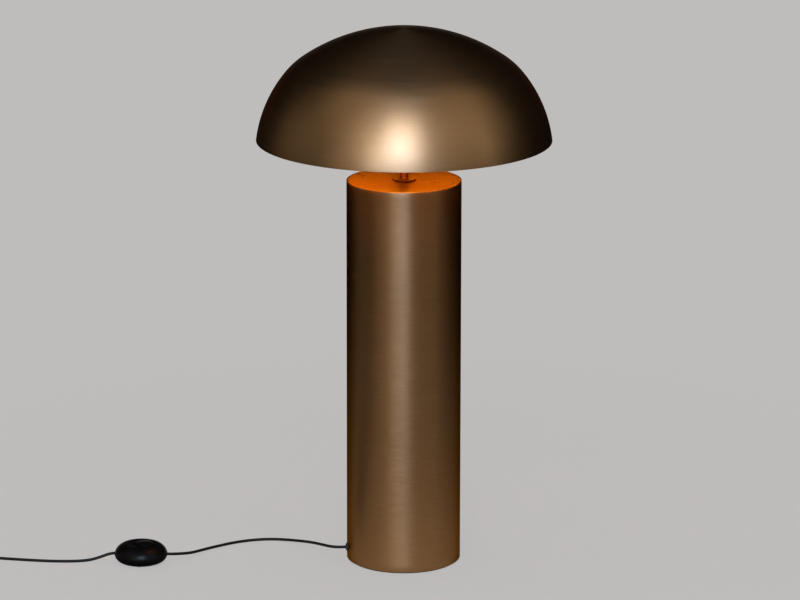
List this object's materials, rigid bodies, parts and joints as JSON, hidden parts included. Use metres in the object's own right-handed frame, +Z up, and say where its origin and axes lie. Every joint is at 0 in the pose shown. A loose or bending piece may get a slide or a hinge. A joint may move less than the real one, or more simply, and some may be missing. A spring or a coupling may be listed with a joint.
{
  "type": "floor lamp",
  "caption": "Mushroom floor lamp: a spun dome shade on a short neck above a wide tubular column, with a foot switch and a plug on a thin lead.",
  "frame": {"origin": "centre of the column foot on the floor", "axes": "+Z up along the column, the front faces -Y, the lead leaves the column towards -X"},
  "size_m": [0.8498, 0.4, 0.7426],
  "materials": {
    "bronze": "satin",
    "steel": "satin",
    "cast_iron": "rough",
    "black_rubber": "matt",
    "black_plastic": "satin",
    "switch_black": "gloss",
    "lead_black": "satin",
    "tie_black": "satin",
    "brass_contacts": "satin",
    "pin_nickel": "polished",
    "aluminium": "satin",
    "ceramic": "matt",
    "bulb_glass": "clear",
    "mount_glass": "clear",
    "filament": "matt"
  },
  "bodies": {
    "lamp": {"column_tube": "bronze", "plate_seat_ring": "steel", "top_plate": "bronze", "base_pad": "black_rubber", "base_plate": "steel", "base_weight": "cast_iron", "tube_brackets": "steel", "base_screws": "steel", "lead_grommet": "black_rubber", "lead_clamp": "black_plastic", "clamp_screws": "steel", "column_lead": "lead_black", "stem_nipple": "steel", "stem_nut": "steel", "stem_washer": "steel", "stem_spacer": "bronze", "stem_disc": "bronze", "stem_sleeve": "bronze", "holder_cap": "black_plastic", "holder_grub_screw": "steel", "holder_body": "black_plastic", "holder_core": "ceramic", "holder_terminals": "brass_contacts", "thread_shell": "brass_contacts", "centre_contact": "brass_contacts", "lead_cores": "lead_black", "shade_ring": "black_plastic", "bulb_glass": "bulb_glass", "bulb_cap": "aluminium", "bulb_insulator": "ceramic", "bulb_tip": "brass_contacts", "bulb_mount": "mount_glass", "bulb_filaments": "filament", "shade_shell": "bronze", "shade_spider": "bronze", "lamp_cord": "lead_black", "switch_base": "switch_black", "switch_cover": "switch_black", "switch_block": "black_plastic", "switch_spring": "steel", "switch_grips": "black_plastic", "switch_cores": "lead_black", "switch_feet": "black_rubber", "switch_screws": "steel", "switch_cord": "lead_black", "cord_coil": "lead_black", "coil_tie": "tie_black", "plug_relief": "lead_black", "plug_body": "black_plastic", "plug_sleeves": "black_plastic", "plug_pins": "pin_nickel"},
    "button": {"switch_button": "switch_black", "contact_bridge": "brass_contacts"}
  },
  "joints": [
    {"name": "button_press", "type": "slide", "parent": "lamp", "child": "button", "axis": [0, 0, -1], "range_m": [0, 0.003], "stiffness_N_per_m": 800, "springref_m": -0.001, "deforming": ["switch_spring"]}
  ]
}
